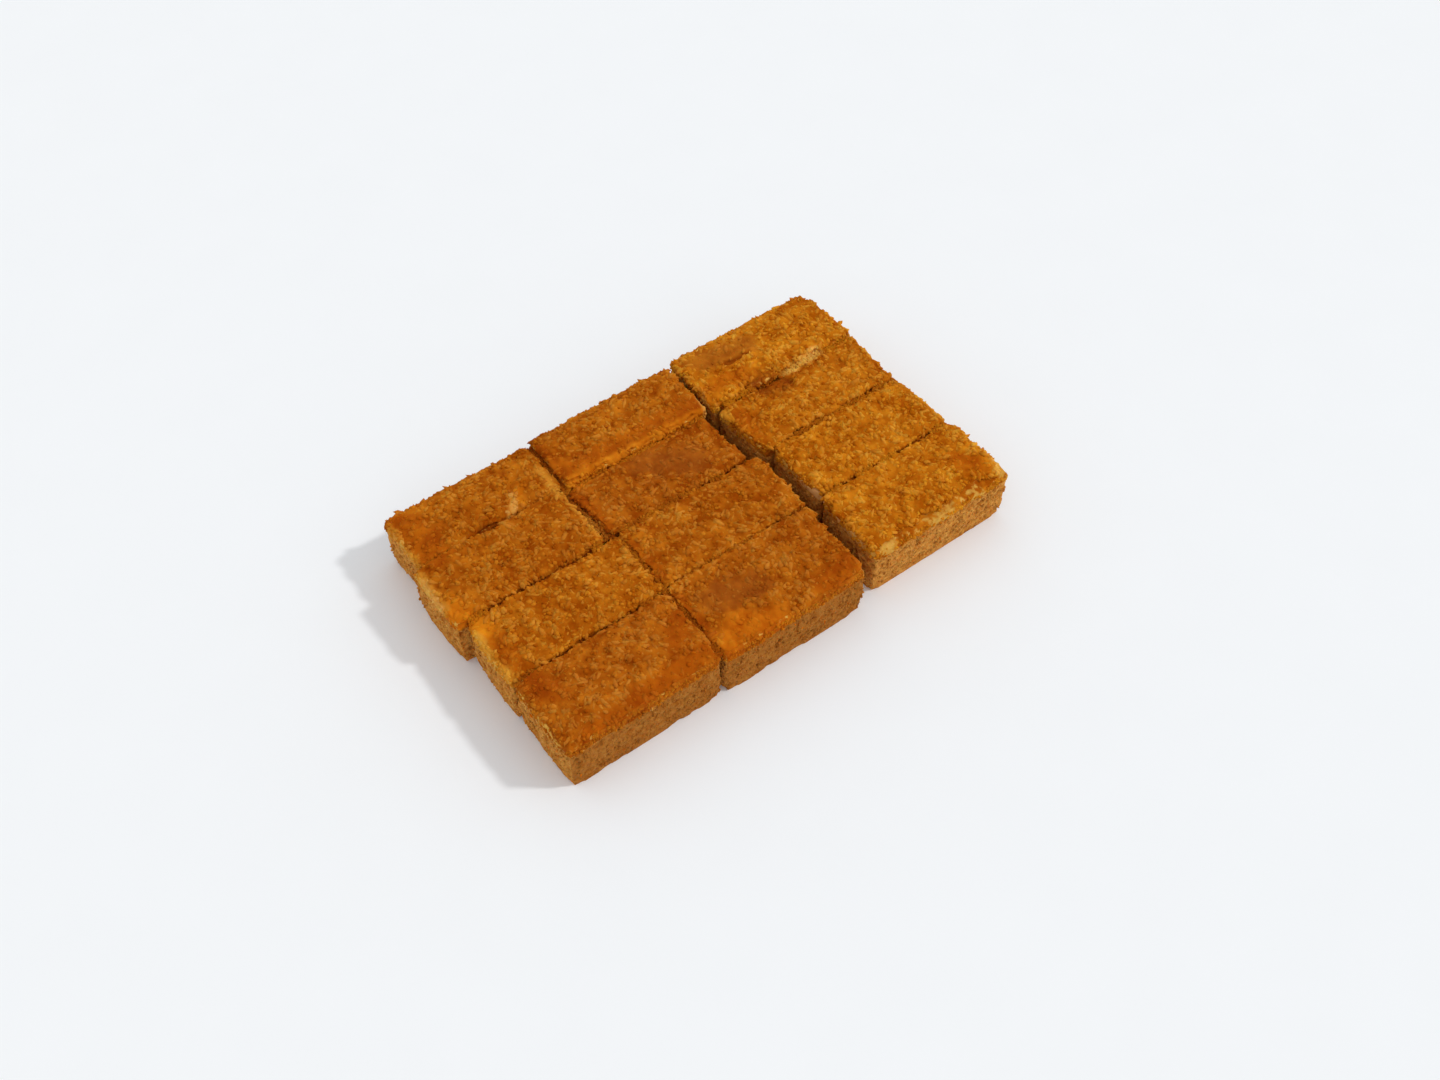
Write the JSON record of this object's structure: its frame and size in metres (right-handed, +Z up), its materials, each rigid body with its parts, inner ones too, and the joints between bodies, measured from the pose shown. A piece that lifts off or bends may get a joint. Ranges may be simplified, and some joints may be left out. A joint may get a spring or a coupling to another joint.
{
  "type": "carrot cake",
  "caption": "Crumb-topped carrot cake cut into small bars that still stand as one rectangular slab, each with sponge, a spread of cream and a coat of coarse crumbs.",
  "frame": {"origin": "middle of the slab's outline at its underside, on the surface that the bars stand on", "axes": "+X along the length of the bars and of the slab, +Y from the front row to the back row, +Z up"},
  "size_m": [0.192, 0.1204, 0.0258],
  "materials": {
    "sponge": "matt, open carrot sponge with fine pores",
    "cream": "soft pale cream, faint sheen",
    "crumbs": "matt golden-brown coarse crumbs"
  },
  "bodies": {
    "root": {"sponge_left_1": "sponge", "sponge_left_2": "sponge", "sponge_left_3": "sponge", "sponge_left_4": "sponge", "sponge_middle_1": "sponge", "sponge_middle_2": "sponge", "sponge_middle_3": "sponge", "sponge_middle_4": "sponge", "sponge_right_1": "sponge", "sponge_right_2": "sponge", "sponge_right_3": "sponge", "sponge_right_4": "sponge", "cream_left_1": "cream", "cream_left_2": "cream", "cream_left_3": "cream", "cream_left_4": "cream", "cream_middle_1": "cream", "cream_middle_2": "cream", "cream_middle_3": "cream", "cream_middle_4": "cream", "cream_right_1": "cream", "cream_right_2": "cream", "cream_right_3": "cream", "cream_right_4": "cream", "crumbs_left_1": "crumbs", "crumbs_left_2": "crumbs", "crumbs_left_3": "crumbs", "crumbs_left_4": "crumbs", "crumbs_middle_1": "crumbs", "crumbs_middle_2": "crumbs", "crumbs_middle_3": "crumbs", "crumbs_middle_4": "crumbs", "crumbs_right_1": "crumbs", "crumbs_right_2": "crumbs", "crumbs_right_3": "crumbs", "crumbs_right_4": "crumbs"}
  },
  "joints": []
}
